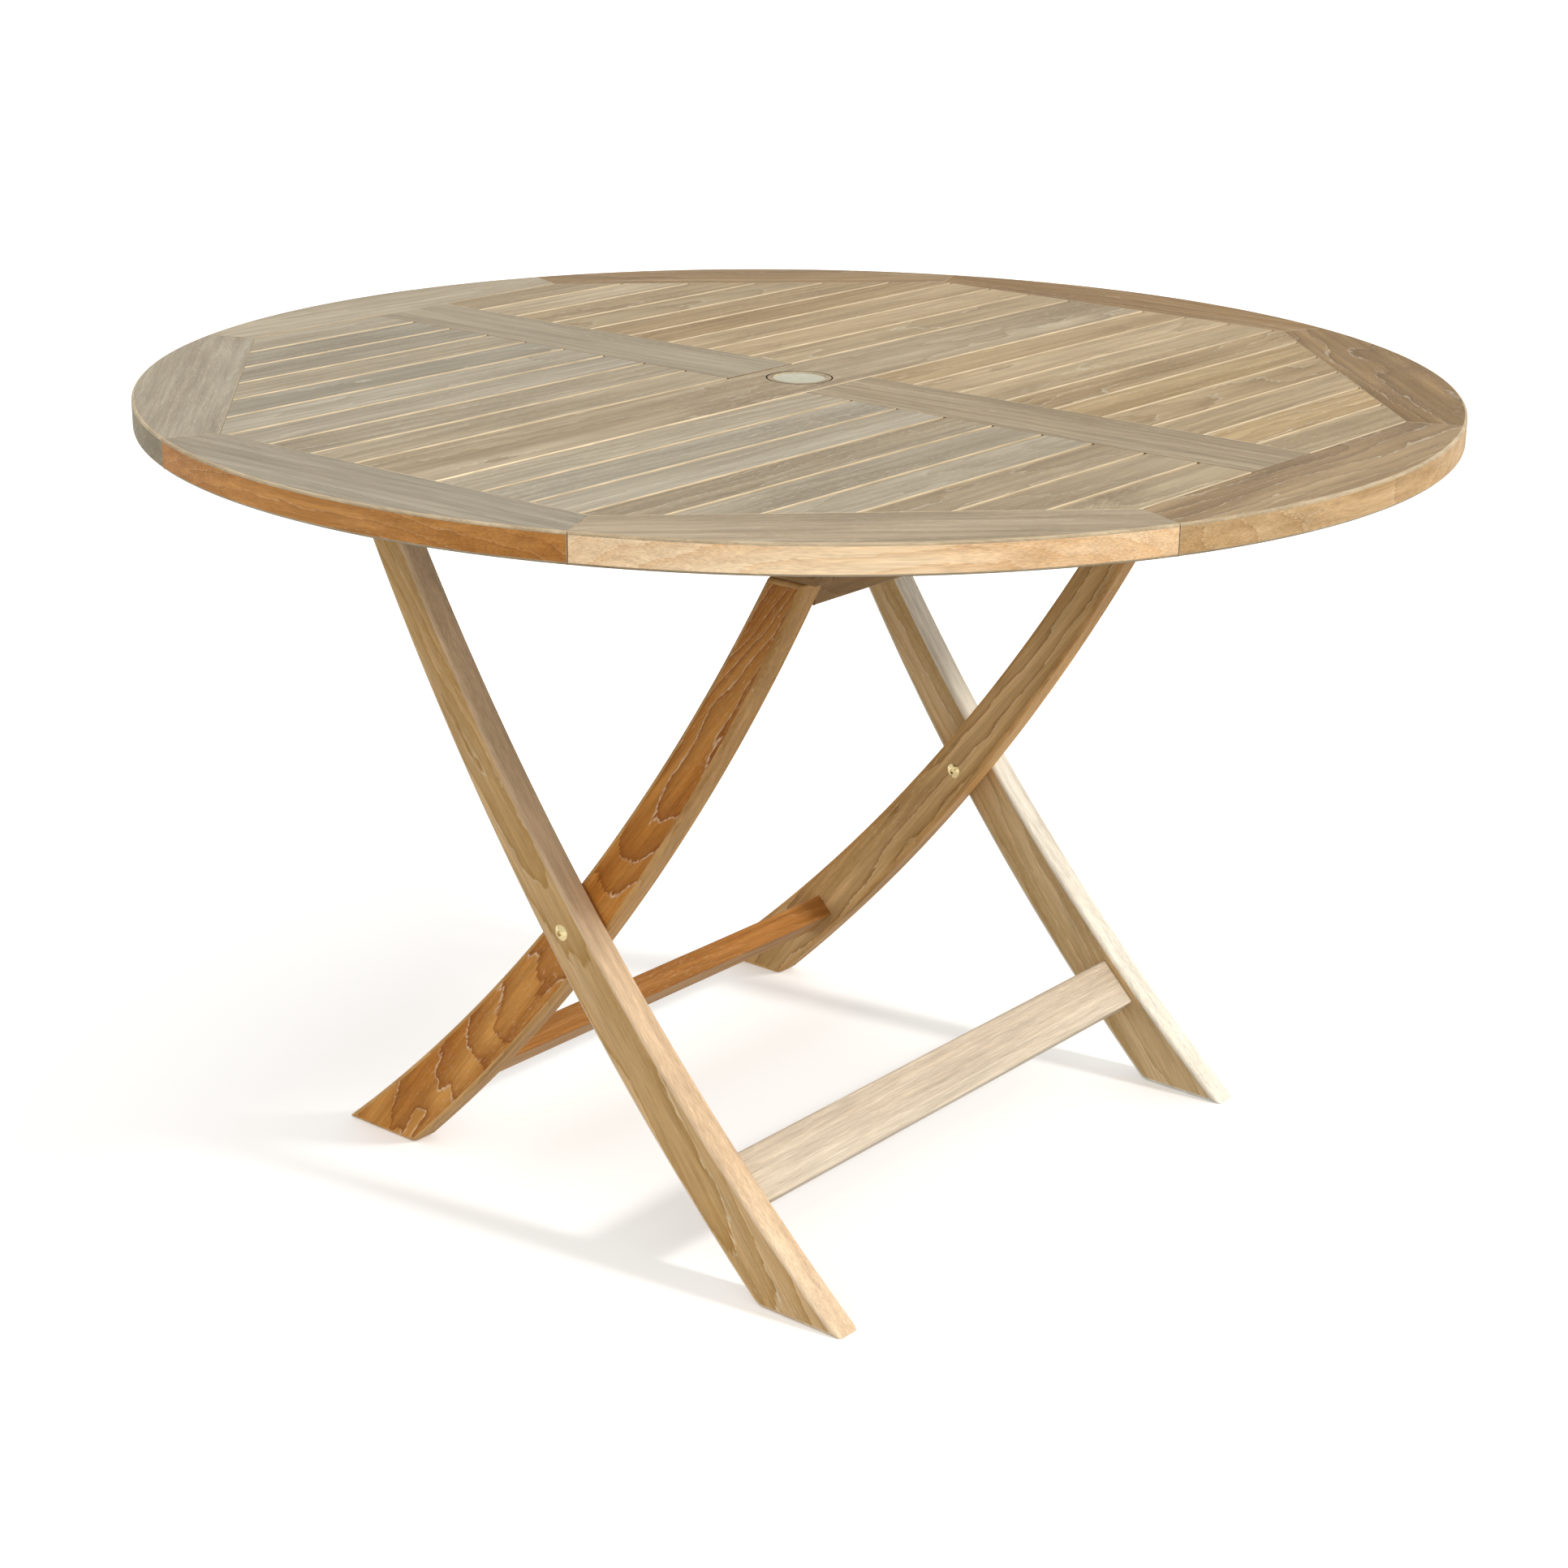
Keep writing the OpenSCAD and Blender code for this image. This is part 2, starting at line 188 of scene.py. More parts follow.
def teak_group():
    """Sawn teak: growth rings of a tilted log cut by the board, long fibres and short pores."""
    tree = bpy.data.node_groups.new("teak_grain", "ShaderNodeTree")
    for kind, names in (("Vector", ("Vector", "Seed", "Pith", "Tilt")),
                        ("Color", ("Light", "Mid", "Dark", "Pale")),
                        ("Float", ("Ring", "Figure", "Contour", "Fleck"))):
        for name in names:
            group_socket(tree, name, kind)
    for name, kind in (("Color", "Color"), ("Roughness", "Float"), ("Height", "Float")):
        group_socket(tree, name, kind, "OUTPUT")
    g = Graph(tree)
    given = tree.nodes.new("NodeGroupInput").outputs
    at = given["Vector"]
    seeded = g.vector("ADD", at, given["Seed"])

    # fibres, streaks and pores, all drawn out along the grain
    bands = g.noise(seeded, (1.4, 20, 20), 3.0, 0.55)
    patches = g.noise(seeded, (2.6, 11, 11), 3.0, 0.55)
    streaks = g.noise(seeded, (5, 130, 130), 4.0, 0.62)
    fibres = g.noise(seeded, (24, 1000, 1000), 3.0, 0.62)
    dashes = g.noise(seeded, (110, 1500, 1500), 1.0, 0.4)
    pale_pores = g.math("MULTIPLY", g.ramp(dashes, 0.63, 0.72), g.ramp(patches, 0.42, 0.62))
    dark_pores = g.math("MULTIPLY", g.ramp(dashes, 0.40, 0.30), g.ramp(bands, 0.62, 0.40))

    # the log: distance from a tilted, wandering pith, with ring borders that fray along the fibres
    slow = g.stretch(seeded, (3.4, 10, 10))
    wander = g.add("TexNoise", {"Vector": slow, "Scale": 1.0, "Detail": 3.0})
    wander = g.vector("SUBTRACT", wander.outputs["Color"], (0.5, 0.5, 0.5))
    wander = g.stretch(wander, (0.04, 0.04, 0.04))
    lean = g.scale(given["Tilt"], g.add("SeparateXYZ", (at,)).outputs[0])
    from_pith = g.vector("SUBTRACT", g.vector("SUBTRACT", at, given["Pith"]), lean)
    across = g.vector("ADD", from_pith, wander)
    flat = g.stretch(across, (0, 1, 1))
    radius = g.add("VectorMath", (flat,), operation="LENGTH").outputs["Value"]
    uneven = g.noise(seeded, (8, 28, 28), 4.0, 0.55)
    frayed = g.math("MULTIPLY", g.math("SUBTRACT", fibres, 0.5), 0.30)
    rings = g.math("ADD", g.math("DIVIDE", radius, given["Ring"]), g.math("MULTIPLY", uneven, 1.9))
    rings = g.math("ADD", rings, frayed)
    year = g.math("FRACT", rings)
    late = g.math("ADD", g.ramp(year, 0.15, 0.98, 0.0, 0.55), g.ramp(year, 0.82, 0.99, 0.0, 0.45))
    edge = g.math("MULTIPLY", g.ramp(year, 0.0, 0.02), g.ramp(year, 0.02, 0.08, 1.0, 0.0))
    some = g.ramp(g.noise(seeded, (4, 30, 30), 2.0), 0.38, 0.58)

    # colour
    streaky = g.math("MULTIPLY", g.math("SUBTRACT", streaks, 0.5), 1.1)
    tone = g.math("ADD", g.ramp(bands, 0.30, 0.70), streaky)
    body = g.mix(tone, given["Mid"], given["Light"])
    body = g.mix(g.ramp(patches, 0.48, 0.76, 0.0, 0.62), body, given["Dark"])
    body = g.mix(g.math("MULTIPLY", late, given["Figure"]), body, given["Dark"])
    lines = g.math("MULTIPLY", g.math("MULTIPLY", edge, some), given["Contour"])
    body = g.mix(lines, body, given["Pale"])
    body = g.mix(g.math("MULTIPLY", pale_pores, given["Fleck"]), body, given["Pale"])
    dark_flecks = g.math("MULTIPLY", dark_pores, g.math("MULTIPLY", given["Fleck"], 0.7))
    body = g.mix(dark_flecks, body, given["Dark"])
    shade = g.ramp(fibres, 0.27, 0.73, 0.84, 1.15)
    shade = g.math("MULTIPLY", shade, g.ramp(streaks, 0.27, 0.73, 0.88, 1.11))
    body = g.scale(body, shade)

    # gloss and relief
    pores_rough = g.math("MULTIPLY", pale_pores, 0.12)
    rough = g.math("ADD", g.ramp(fibres, 0.2, 0.8, 0.46, 0.64), pores_rough)
    relief = g.math("SUBTRACT", g.math("MULTIPLY", late, 0.4), g.math("MULTIPLY", dark_pores, 0.8))
    height = g.math("ADD", g.math("MULTIPLY", fibres, 0.7), relief)
    out = tree.nodes.new("NodeGroupOutput")
    for name, socket in (("Color", body), ("Roughness", rough), ("Height", height)):
        tree.links.new(socket, out.inputs[name])
    return tree


TEAK = teak_group()
TEAK_SHINE = 0.13
TEAK_RELIEF, BRASS_RELIEF = 0.5 * MM, 0.1 * MM


def teak(name, light, mid, dark, pale=(0.72, 0.62, 0.47), seed=0, ring=9 * MM,
         pith=(0, 0.02, -0.06), tilt=(0, 0.02, 0.05), figure=0.5, contour=0.5, fleck=0.5):
    """A teak finish. Its four tones are the fresh wood, the body, the late wood and the pores.

    `pith` is where the log's middle lies from the board's, `tilt` how it leans off per metre along
    the grain, and `ring` the growth of a year. The last three are how strongly the late wood, the
    ring borders and the pores show.
    """
    paint = bpy.data.materials.new(name)
    paint.use_nodes = True
    tree = paint.node_tree
    g = Graph(tree)
    rng = random.Random(seed)
    grain = g.add("Group", node_tree=TEAK)
    tree.links.new(g.add("TexCoord").outputs["Object"], grain.inputs["Vector"])
    grain.inputs["Seed"].default_value = [rng.uniform(-9, 9) for _ in range(3)]
    grain.inputs["Pith"].default_value = pith
    grain.inputs["Tilt"].default_value = tilt
    for key, value in (("Light", light), ("Mid", mid), ("Dark", dark), ("Pale", pale)):
        grain.inputs[key].default_value = (*value, 1)
    strengths = (("Ring", ring), ("Figure", figure), ("Contour", contour), ("Fleck", fleck))
    for key, value in strengths:
        grain.inputs[key].default_value = value
    shader = tree.nodes["Principled BSDF"]
    tree.links.new(grain.outputs["Color"], shader.inputs["Base Color"])
    tree.links.new(grain.outputs["Roughness"], shader.inputs["Roughness"])
    bump = g.add("Bump", {"Strength": 0.35, "Distance": TEAK_RELIEF,
                          "Height": grain.outputs["Height"]})
    tree.links.new(bump.outputs[0], shader.inputs["Normal"])
    shader.inputs["Specular IOR Level"].default_value = TEAK_SHINE
    return paint


def brass(name, colour, rough, wear):
    """Brass with a tarnish that darkens it by `wear`, fine scratches and uneven polish."""
    paint = bpy.data.materials.new(name)
    paint.use_nodes = True
    tree = paint.node_tree
    g = Graph(tree)
    at = g.add("TexCoord").outputs["Object"]
    stain = g.noise(at, (60, 60, 60), 4.0, 0.6)
    scratch = g.noise(at, (900, 90, 900), 2.0, 0.7)
    tarnish = tuple(c * (1 - wear) for c in colour)
    base = g.mix(g.ramp(stain, 0.35, 0.7), (*colour, 1), (*tarnish, 1))
    shader = tree.nodes["Principled BSDF"]
    shader.inputs["Metallic"].default_value = 1.0
    tree.links.new(base, shader.inputs["Base Color"])
    tree.links.new(g.ramp(scratch, 0.3, 0.7, rough * 0.7, rough * 1.5), shader.inputs["Roughness"])
    bump = g.add("Bump", {"Strength": 0.12, "Distance": BRASS_RELIEF, "Height": scratch})
    tree.links.new(bump.outputs[0], shader.inputs["Normal"])
    return paint


# ---- planks ----

SHARP_CORNER = math.radians(20)
SHARP_WOOD, SHARP_BRASS = math.radians(25), math.radians(40)


def clip(outline, nx, ny, limit):
    """The part of a convex outline where nx * x + ny * y <= limit."""
    kept = []
    for (ax, ay), (bx, by) in zip(outline, outline[1:] + outline[:1]):
        da, db = nx * ax + ny * ay - limit, nx * bx + ny * by - limit
        if da <= 0:
            kept.append((ax, ay))
        if (da < 0 < db) or (db < 0 < da):
            share = da / (da - db)
            kept.append((ax + (bx - ax) * share, ay + (by - ay) * share))
    return kept


def mesh_object(name, mesh, place):
    piece = bpy.data.objects.new(name, mesh)
    bpy.context.scene.collection.objects.link(piece)
    piece.matrix_world = place
    return piece


def smooth_mesh(bm, name, sharp):
    """The finished mesh of a bmesh, shaded smooth except at edges bent by more than `sharp`."""
    bmesh.ops.recalc_face_normals(bm, faces=bm.faces[:])
    for face in bm.faces:
        face.smooth = True
    mesh = bpy.data.meshes.new(name)
    bm.to_mesh(mesh)
    bm.free()
    mesh.set_sharp_from_angle(angle=sharp)
    return mesh


def corner_angle(outline, i):
    before = Vector(outline[i]) - Vector(outline[i - 1])
    after = Vector(outline[(i + 1) % len(outline)]) - Vector(outline[i])
    return abs(before.angle_signed(after))


def plank(name, nodes, outline, depth, place, finish, rounding, corner=0.6 * MM, steps=3):
    """A board whose outline lies in its local XY plane, with its grain along local X.

    It is `depth` thick, centred on that plane. `rounding` is the radius of its long arrises, or a
    function that gives the radius along the side from one outline point to the next. `corner` is
    the radius of the arrises that run through the thickness.
    `finish` holds the materials of the two faces, the arrises and the edges.
    """
    count = len(outline)
    radius = rounding if callable(rounding) else (lambda a, b: rounding)
    radii = [radius(outline[i], outline[(i + 1) % count]) for i in range(count)]
    widest = max(corner, *radii)
    bm = bmesh.new()
    weight = bm.edges.layers.float.new("bevel_weight_edge")
    low = [bm.verts.new((x, y, -depth / 2)) for x, y in outline]
    high = [bm.verts.new((x, y, depth / 2)) for x, y in outline]
    bm.faces.new(high)
    bm.faces.new(low[::-1])
    for i in range(count):
        j = (i + 1) % count
        bm.faces.new((low[i], low[j], high[j], high[i])).material_index = 2
        for ring in (low, high):
            bm.edges.get((ring[i], ring[j]))[weight] = radii[i] / widest
        if corner_angle(outline, i) > SHARP_CORNER:
            bm.edges.get((low[i], high[i]))[weight] = corner / widest
    mesh = smooth_mesh(bm, name, SHARP_WOOD)
    for paint in finish:
        mesh.materials.append(paint)
    piece = mesh_object(name, mesh, place)
    bevel = piece.modifiers.new("arris", "BEVEL")
    bevel.limit_method, bevel.width, bevel.segments = "WEIGHT", widest, steps
    bevel.material, bevel.harden_normals, bevel.miter_outer = 1, True, "MITER_SHARP"
    settle(piece, nodes)
    return piece


def settle(piece, nodes):
    """The piece stands for its CAD nodes, which it hides, and rides as they do."""
    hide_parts(*nodes)
    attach(piece, BODY_OF[nodes[0]])


def flat_place(x, y, z, turn):
    """A board lying flat with its middle at x, y, z and its grain turned from +X."""
    return Matrix.Translation((x, y, z)) @ Matrix.Rotation(turn, 4, "Z")


# ---- wood tones ----

def blended(a, b, share):
    return tuple(p + (q - p) * share for p, q in zip(a, b))


def scaled(colour, k):
    return tuple(c * k for c in colour)


# The grey tones stand for weathered wood and also for a painted sheen, a cool reflection on the tops
# of the boards and the rim.
GREY_WEATHER_AND_SHEEN = ((0.370, 0.330, 0.256), (0.305, 0.264, 0.193), (0.212, 0.170, 0.108))
WARM = ((0.425, 0.298, 0.142), (0.315, 0.203, 0.080), (0.185, 0.100, 0.028))
RIM_WARM = ((0.300, 0.190, 0.078), (0.205, 0.116, 0.036), (0.105, 0.050, 0.012))
PALE_PORES, EDGE_PORES = (0.72, 0.68, 0.58), (0.85, 0.70, 0.50)
# A top board's place sets its share of the warm tones, so the painted sheen grows towards -X and +Y.
WARM_MIDDLE, WARM_PER_X, WARM_PER_Y, WARM_SPREAD = 0.42, 1.1, 0.25, 0.22


def board_tones(x, y, rng):
    """Tones of a board of the top: greyer towards -X, browner towards +X, which is weathered grey
    wood with a painted sheen laid in by place.
    """
    share = WARM_MIDDLE + x * WARM_PER_X - y * WARM_PER_Y + rng.uniform(-WARM_SPREAD, WARM_SPREAD)
    share = min(1.0, max(0.0, share))
    bright = rng.uniform(0.88, 1.10)
    return [scaled(blended(c, w, share), bright) for c, w in zip(GREY_WEATHER_AND_SHEEN, WARM)]


def random_cut(rng, width):
    """Where a board's log had its pith: near its own plane or well below it."""
    side = rng.choice((-1, 1))
    if rng.random() < 0.5:
        return {"pith": (0, side * rng.uniform(0.0, 0.3) * width, -rng.uniform(30, 55) * MM),
                "tilt": (0, rng.uniform(-0.03, 0.03), side * rng.uniform(0.035, 0.085)),
                "ring": 13 * MM}
    return {"pith": (0, side * rng.uniform(50, 110) * MM, -rng.uniform(10, 50) * MM),
            "tilt": (0, side * rng.uniform(0.02, 0.05), rng.uniform(-0.02, 0.02)),
            "ring": 11 * MM}


# ---- the top ----

# Lengths shared with part.scad
TONGUE, GAP, SLIP = 9 * MM, 0.4 * MM, 0.15 * MM
RIM_SEAM = 0.2 * MM
FLANGE_T, FLANGE_LIP, FLANGE_IN = 5 * MM, 2.5 * MM, 11 * MM
SLEEVE_WALL, LID_SEAT = 3 * MM, 3 * MM
SLEEVE_HOLE_IN = 7.8 * MM

# Radii of the arrises: along a slat, across its ends, round a cross board, and on the rim
SLAT_ARRIS, END_ARRIS, CROSS_ARRIS = 0.9 * MM, 0.2 * MM, 0.5 * MM
RIM_ARRIS, RIM_SEAM_ARRIS = 2.4 * MM, 0.25 * MM
PARALLEL = 0.1 * MM

TOP_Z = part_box("centre_board")[1].z
BOARD_T = TOP_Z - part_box("centre_board")[0].z
RIM_T = TOP_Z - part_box("rim_1")[0].z
RIM_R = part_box("rim_1")[1].x
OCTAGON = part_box("cross_board_far")[1].y - TONGUE - GAP
CROSS_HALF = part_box("cross_board_far")[1].x
ROWS = 9
EIGHTH = math.pi / 4


def in_octagon(outline, apothem):
    for i in range(8):
        outline = clip(outline, math.cos(i * EIGHTH), math.sin(i * EIGHTH), apothem)
    return outline


def top_board(name, node, corners, place_at, turn, rng, arris):
    """A board of the top. Its corners are given in the frame, and its grain runs along `turn`."""
    place = flat_place(*place_at, TOP_Z - BOARD_T / 2, turn)
    back = place.inverted()
    outline = [(back @ Vector((x, y, TOP_Z - BOARD_T / 2))).to_2d()[:] for x, y in corners]
    light, mid, dark = board_tones(*place_at, rng)
    width = max(p[1] for p in outline) - min(p[1] for p in outline)
    look = {"figure": rng.uniform(0.18, 0.60), "contour": rng.uniform(0.15, 0.7),
            "fleck": rng.uniform(0.3, 0.7)}
    wood = teak(name, light, mid, dark, pale=blended(light, PALE_PORES, 0.7),
                seed=rng.randrange(10 ** 6), **random_cut(rng, width), **look)
    across = END_ARRIS if turn == 0 else CROSS_ARRIS

    def rounding(a, b):
        return SLAT_ARRIS if turn == 0 and abs(a[1] - b[1]) < PARALLEL else across

    return plank(name, [node], outline, BOARD_T, place, (wood, arris, arris), rounding, across, 2)


def make_slats(arris):
    rng = random.Random(5)
    for row_name in ("near", "far"):
        for row in range(1, ROWS + 1):
            node = f"slats_{row_name}_{row}"
            low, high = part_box(node)
            for turn, end in ((-1, "left"), (1, "right")):
                x_in, x_out = turn * (CROSS_HALF + GAP), turn * OCTAGON
                corners = [(x_in, low.y), (x_out, low.y), (x_out, high.y), (x_in, high.y)]
                corners = in_octagon(corners if turn > 0 else corners[::-1], OCTAGON)
                middle = sum(p[0] for p in corners) / len(corners)
                top_board(f"slat_{row_name}_{row}_{end}", node, corners,
                          (middle, (low.y + high.y) / 2), 0.0, rng, arris)


def lathe(name, node, profile, centre, paint, steps=96):
    """A turned brass piece about a vertical axis: profile is a closed loop of (radius, height)."""
    bm = bmesh.new()
    rings = []
    for i in range(steps):
        a = 2 * math.pi * i / steps
        rings.append([bm.verts.new((r * math.cos(a), r * math.sin(a), z)) for r, z in profile])
    for i in range(steps):
        here, there = rings[i], rings[(i + 1) % steps]
        for k in range(len(profile)):
            m = (k + 1) % len(profile)
            if profile[k][0] or profile[m][0]:
                bm.faces.new((here[k], there[k], there[m], here[m]))
    bmesh.ops.remove_doubles(bm, verts=bm.verts[:], dist=1e-6)
    bmesh.ops.dissolve_degenerate(bm, edges=bm.edges[:], dist=1e-6)
    mesh = smooth_mesh(bm, name, SHARP_BRASS)
    mesh.materials.append(paint)
    settle(mesh_object(name, mesh, Matrix.Translation(centre)), [node])


def arc(cx, cz, r, start, end, steps=5):
    """Points of an arc in a profile or outline, angles in degrees."""
    angles = [math.radians(start + (end - start) * i / steps) for i in range(steps + 1)]
    return [(cx + r * math.cos(a), cz + r * math.sin(a)) for a in angles]


def drill(piece, holes, steps=64):
    """Cuts vertical holes (x, y, radius, low, high), given in the frame, out of a piece."""
    bm = bmesh.new()
    for x, y, r, z0, z1 in holes:
        bmesh.ops.create_cone(bm, cap_ends=True, segments=steps, radius1=r, radius2=r,
                              depth=z1 - z0, matrix=Matrix.Translation((x, y, (z0 + z1) / 2)))
    mesh = bpy.data.meshes.new("cutter")
    bm.to_mesh(mesh)
    bm.free()
    mesh.materials.append(piece.data.materials[2])
    cutter = mesh_object("cutter", mesh, Matrix.Identity(4))
    cut = piece.modifiers.new("holes", "BOOLEAN")
    cut.operation, cut.solver, cut.object = "DIFFERENCE", "EXACT", cutter
    bpy.context.view_layer.update()
    drilled = piece.evaluated_get(bpy.context.evaluated_depsgraph_get())
    done = bpy.data.meshes.new_from_object(drilled)
    piece.modifiers.clear()
    piece.data = done
    bpy.data.objects.remove(cutter)


def make_boards(arris, seam):
    rng = random.Random(11)
    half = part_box("centre_board")[1].y
    corners = [(-OCTAGON, -half), (OCTAGON, -half), (OCTAGON, half), (-OCTAGON, half)]
    board = top_board("board_centre", "centre_board", corners, (0, 0), 0.0, rng, arris)
    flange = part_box("parasol_ring")[1].x
    drill(board, [(0, 0, flange - SLEEVE_HOLE_IN, TOP_Z - 2 * BOARD_T, TOP_Z + BOARD_T),
                  (0, 0, flange + SLIP, TOP_Z - FLANGE_T, TOP_Z + BOARD_T)])
    for side, end in ((-1, "near"), (1, "far")):
        y_in, y_out = side * CROSS_HALF, side * OCTAGON
        corners = [(-CROSS_HALF, y_in), (CROSS_HALF, y_in),
                   (CROSS_HALF, y_out), (-CROSS_HALF, y_out)]
        corners = corners if side > 0 else corners[::-1]
        top_board(f"board_cross_{end}", f"cross_board_{end}", corners,
                  (0, (y_in + y_out) / 2), math.pi / 2, rng, seam)


# How brown and how bright each rim segment's top face is, and how strong its figure. The grey of
# the segments towards -X is weathered wood and a painted sheen. Both lists count from +X towards +Y.
RIM_FACES = [(0.95, 1.10, 0.45), (0.85, 1.05, 0.40), (0.20, 1.15, 0.20), (0.05, 1.00, 0.15),
             (0.10, 0.87, 0.25), (0.35, 1.20, 0.30), (0.75, 1.12, 0.50), (0.95, 0.98, 0.50)]

# Tones of each rim segment's outer edge: light, body, late wood
RIM_EDGES = [
    ((0.50, 0.36, 0.20), (0.42, 0.28, 0.14), (0.28, 0.15, 0.06)),
    ((0.50, 0.36, 0.20), (0.40, 0.26, 0.13), (0.26, 0.14, 0.06)),
    ((0.48, 0.36, 0.22), (0.38, 0.27, 0.15), (0.26, 0.16, 0.08)),
    ((0.32, 0.265, 0.17), (0.25, 0.205, 0.125), (0.17, 0.13, 0.075)),
    ((0.62, 0.300, 0.092), (0.49, 0.205, 0.046), (0.29, 0.095, 0.015)),
    ((0.98, 0.76, 0.50), (0.94, 0.64, 0.38), (0.70, 0.36, 0.12)),
    ((0.60, 0.41, 0.22), (0.51, 0.31, 0.13), (0.34, 0.18, 0.06)),
    ((0.58, 0.42, 0.24), (0.49, 0.32, 0.15), (0.32, 0.18, 0.07)),
]


def make_rim(arris):
    rng = random.Random(23)
    inner = OCTAGON + GAP
    half = inner * math.tan(EIGHTH / 2) - RIM_SEAM
    spread = EIGHTH / 2 - RIM_SEAM / RIM_R
    steps = 30
    longest_step = 20 * MM
    middle = (inner + RIM_R) / 2
    outline = [(half, inner - middle), (-half, inner - middle)]
    for i in range(steps + 1):
        b = -spread + 2 * spread * i / steps
        outline.append((RIM_R * math.sin(b), RIM_R * math.cos(b) - middle))
    outline = outline[::-1]

    def rounding(a, b):
        on_arc = all(math.hypot(x, y + middle) > RIM_R - MM for x, y in (a, b))
        return RIM_ARRIS if on_arc and math.dist(a, b) < longest_step else RIM_SEAM_ARRIS

    for i, (edge, (brown, bright, figure)) in enumerate(zip(RIM_EDGES, RIM_FACES)):
        angle = i * EIGHTH
        x, y = middle * math.cos(angle), middle * math.sin(angle)
        name = f"rim_board_{i + 1}"
        # the top face's grey share is weathered wood and a painted sheen
        light, mid, dark = [scaled(blended(c, w, brown), bright) for c, w in zip(GREY_WEATHER_AND_SHEEN, RIM_WARM)]
        cut = random_cut(rng, RIM_R - inner)
        seed = rng.randrange(10 ** 6)
        face = teak(name, light, mid, dark, pale=blended(light, PALE_PORES, 0.7), seed=seed,
                    figure=figure, contour=figure, fleck=0.45, **cut)
        side = teak(name + "_edge", *edge, pale=blended(edge[0], EDGE_PORES, 0.6), seed=seed,
                    figure=0.35, contour=0.35, fleck=0.75, **cut)
        place = flat_place(x, y, TOP_Z - RIM_T / 2, angle - math.pi / 2)
        plank(name, [f"rim_{i + 1}"], outline, RIM_T, place, (face, arris, side), rounding)


# ---- the leg frames: the same bowed outline as the CAD legs ----

# Lengths shared with part.scad. A box alone doesn't give the bow, the taper or the rails' section.
PIVOT_UNDER_CROSSING = 3 * MM
OUTER_STRETCHER_W, OUTER_STRETCHER_T, OUTER_STRETCHER_N = 51 * MM, 22 * MM, 7.6 * MM
INNER_STRETCHER_W, INNER_STRETCHER_T, INNER_STRETCHER_N = 40 * MM, 25 * MM, -3.5 * MM
RAIL_DROP, RAIL_STEP = 3 * MM, 4.35 * MM
BATTEN_BEVEL_Y, BATTEN_BEVEL_H = 0.150, 24 * MM
SCREW_ROWS, SCREW_HOLE_R = 4, 4.65 * MM
SCREW_HOLE_BELOW, SCREW_HOLE_ABOVE = 5 * MM, 33 * MM
CATCH_HALF = 30 * MM

LEG_ARRIS, LEG_CORNER = 4.2 * MM, 1.5 * MM
RAIL_ARRIS, RAIL_END_ARRIS = 2.5 * MM, 0.4 * MM
LONG_SIDE = 0.1

BOW_R = 2.274
SLOPE = math.radians(52)
CROSS_Y = (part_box("pivot_bolts")[0].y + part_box("pivot_bolts")[1].y) / 2
CROSSING_Z = (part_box("pivot_bolts")[0].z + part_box("pivot_bolts")[1].z) / 2 + PIVOT_UNDER_CROSSING
LEG_W, LEG_TAPER = 49 * MM, 0.0317
TOP_END = 0.462
STRETCHER_AT = -0.275
HEEL_R = 18 * MM
INNER_TOP_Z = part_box("inner_leg_left")[1].z


X_AXIS, Y_AXIS, Z_AXIS = Vector((1, 0, 0)), Vector((0, 1, 0)), Vector((0, 0, 1))


def heading(s):
    return SLOPE + s / BOW_R


def leg_point(s, n):
    """(y from the crossing, z) at arc length s up an outer leg, n towards its upper side."""
    angle = heading(s)
    return (BOW_R * (math.sin(angle) - math.sin(SLOPE)) - n * math.sin(angle),
            CROSSING_Z - BOW_R * (math.cos(angle) - math.cos(SLOPE)) + n * math.cos(angle))


def half_w(s):
    return (LEG_W - LEG_TAPER * s) / 2


def length_at(z, side):
    """Arc length at which the upper (1) or lower (-1) edge of a leg reaches height z."""
    s = (z - CROSSING_Z) / math.sin(SLOPE)
    for _ in range(12):
        s -= (leg_point(s, side * half_w(s))[1] - z) / math.sin(heading(s))
    return s


def leg_outline(round_top):
    """(y from the crossing, z) round a leg that rises towards +Y, from heel to top to toe."""

    def side_points(side, start, end, steps=44):
        lengths = [start + (end - start) * i / steps for i in range(steps + 1)]
        return [leg_point(s, side * half_w(s)) for s in lengths]

    s0 = length_at(0, -1)
    bend = heading(s0)
    back = HEEL_R * math.tan(bend / 2)
    heel = leg_point(s0, -half_w(s0))[0] - back
    points = arc(heel, HEEL_R, HEEL_R, -90, -90 + math.degrees(bend), 6)
    ends = {side: TOP_END if round_top else length_at(INNER_TOP_Z, side) for side in (-1, 1)}
    points += side_points(-1, s0 + 1.2 * back, ends[-1])
    if round_top:
        tip = math.degrees(heading(TOP_END))
        points += arc(*leg_point(TOP_END, 0), half_w(TOP_END), tip - 90, tip + 90, 16)[1:-1]
    return points + side_points(1, ends[1], length_at(0, 1))


def frame_axes(side, angle):
    """Local X along a leg, Y towards its upper side, for a leg that rises towards side * Y."""
    along = Vector((0, side * math.cos(angle), math.sin(angle)))
    upper = Vector((0, -side * math.sin(angle), math.cos(angle)))
    return along, upper


def placed(x_axis, y_axis, at):
    turn = Matrix((x_axis, y_axis, x_axis.cross(y_axis))).transposed()
    return Matrix.Translation(at) @ turn.to_4x4()


def make_leg(name, node, side, finish):
    low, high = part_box(node)
    along, upper = frame_axes(side, SLOPE)
    centre = Vector(((low.x + high.x) / 2, CROSS_Y, CROSSING_Z))
    outline = []
    for y, z in leg_outline(side > 0):
        from_centre = Vector((0, side * y, z - CROSSING_Z))
        outline.append((from_centre.dot(along), from_centre.dot(upper)))
    plank(name, [node], outline, high.x - low.x, placed(along, upper, centre), finish,
          LEG_ARRIS, LEG_CORNER, 4)


